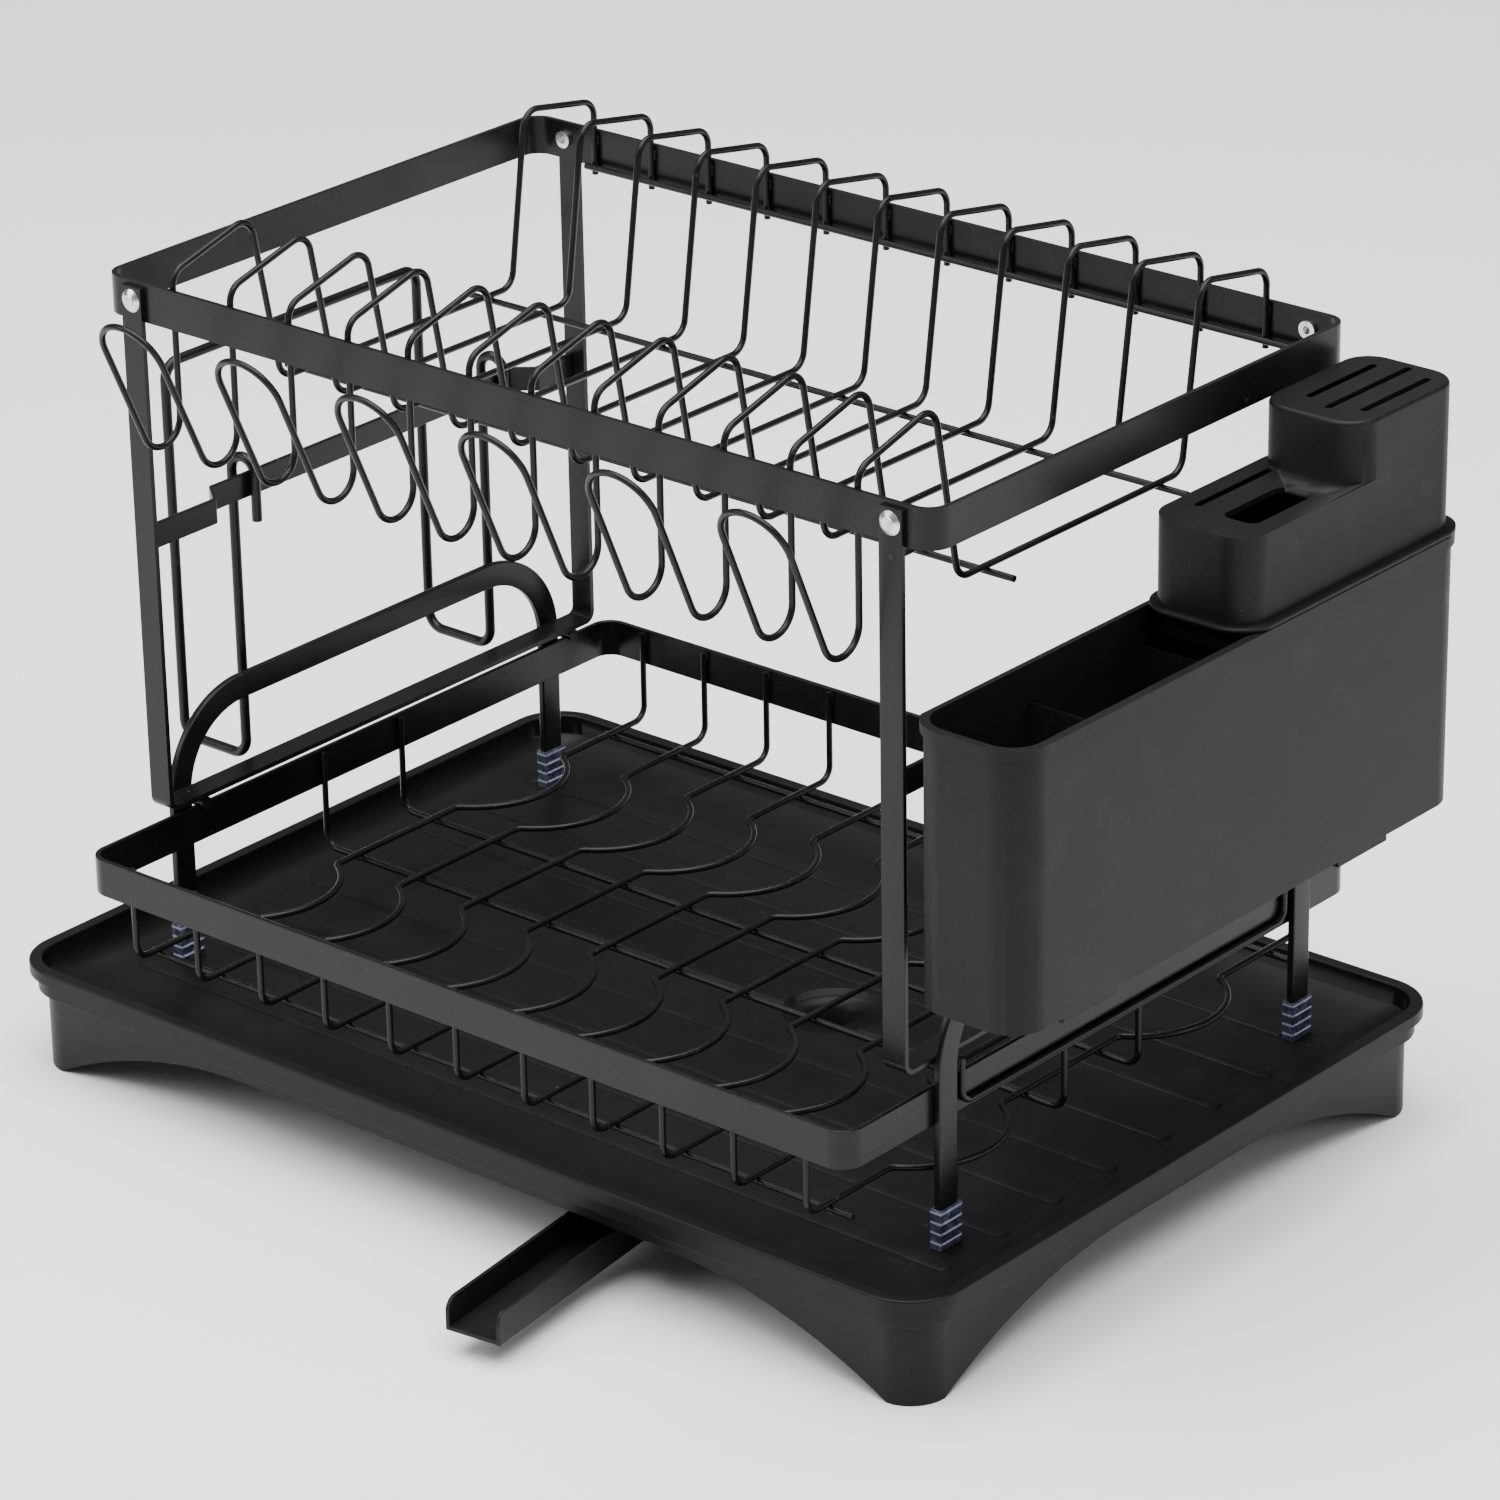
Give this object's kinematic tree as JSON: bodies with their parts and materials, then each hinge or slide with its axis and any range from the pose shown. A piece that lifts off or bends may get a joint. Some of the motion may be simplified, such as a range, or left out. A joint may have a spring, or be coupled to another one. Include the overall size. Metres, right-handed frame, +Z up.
{
  "type": "dish drying rack",
  "caption": "Tiered wire dish drying rack on a drip tray with a swivel drain spout, plate dividers, cup hooks, a board holder and a hung cutlery box with a knife block.",
  "frame": {"origin": "on the table, under the middle of the whole outline with the spout", "axes": "+Z up; +X along the long side, towards the cutlery box; +Y from the cup hooks towards the back"},
  "size_m": [0.48, 0.378, 0.3387],
  "materials": {
    "black_coated_steel": "glossy baked coating",
    "tray_plastic": "satin moulded",
    "box_plastic": "satin moulded",
    "cap_plastic": "translucent soft plastic",
    "rivet_steel": "plain"
  },
  "bodies": {
    "tray": {"drip_tray": "tray_plastic", "spout_retainer": "tray_plastic"},
    "spout": {"drain_spout": "tray_plastic"},
    "lower_rack": {"lower_ring": "black_coated_steel", "wave_wire_01": "black_coated_steel", "wave_wire_02": "black_coated_steel", "wave_wire_03": "black_coated_steel", "wave_wire_04": "black_coated_steel", "wave_wire_05": "black_coated_steel", "wave_wire_06": "black_coated_steel", "wave_wire_07": "black_coated_steel", "wave_wire_08": "black_coated_steel", "wave_wire_09": "black_coated_steel", "wave_wire_10": "black_coated_steel", "wave_wire_11": "black_coated_steel", "cross_wire_front": "black_coated_steel", "cross_wire_back": "black_coated_steel", "floor_rod_front": "black_coated_steel", "floor_rod_back": "black_coated_steel", "handle_left": "black_coated_steel", "handle_right": "black_coated_steel", "tier_pegs": "black_coated_steel", "side_loop_wire": "black_coated_steel", "foot_cap_left_front": "cap_plastic", "foot_cap_left_back": "cap_plastic", "foot_cap_right_front": "cap_plastic", "foot_cap_right_back": "cap_plastic"},
    "upper_tier": {"upper_ring": "black_coated_steel", "plate_wire_1": "black_coated_steel", "plate_wire_2": "black_coated_steel", "plate_wire_3": "black_coated_steel", "plate_wire_4": "black_coated_steel", "plate_wire_5": "black_coated_steel", "plate_wire_6": "black_coated_steel", "tier_rod_front": "black_coated_steel", "tier_rod_back": "black_coated_steel", "edge_rod": "black_coated_steel", "support_left": "black_coated_steel", "support_right": "black_coated_steel", "support_rivets": "rivet_steel", "board_bar": "black_coated_steel", "box_bar": "black_coated_steel"},
    "board_holder": {"board_holder": "black_coated_steel"},
    "cutlery_box": {"cutlery_box": "box_plastic"},
    "knife_block": {"knife_block": "box_plastic"}
  },
  "joints": [
    {"name": "spout_swivel", "type": "hinge", "parent": "tray", "child": "spout", "pos_m": [0.0299, 0.0484, 0.02], "axis": [0, 0, 1], "range_deg": [-45, 18]},
    {"name": "lower_rack_lift", "type": "slide", "parent": "tray", "child": "lower_rack", "axis": [0, 0, 1], "range_m": [0, 0.06]},
    {"name": "upper_tier_lift", "type": "slide", "parent": "lower_rack", "child": "upper_tier", "axis": [0, 0, 1], "range_m": [0, 0.1]},
    {"name": "board_holder_lift", "type": "slide", "parent": "upper_tier", "child": "board_holder", "axis": [0, 0, 1], "range_m": [0, 0.06]},
    {"name": "cutlery_box_lift", "type": "slide", "parent": "upper_tier", "child": "cutlery_box", "axis": [0, 0, 1], "range_m": [0, 0.05]},
    {"name": "knife_block_lift", "type": "slide", "parent": "cutlery_box", "child": "knife_block", "axis": [0, 0, 1], "range_m": [0, 0.05]}
  ]
}
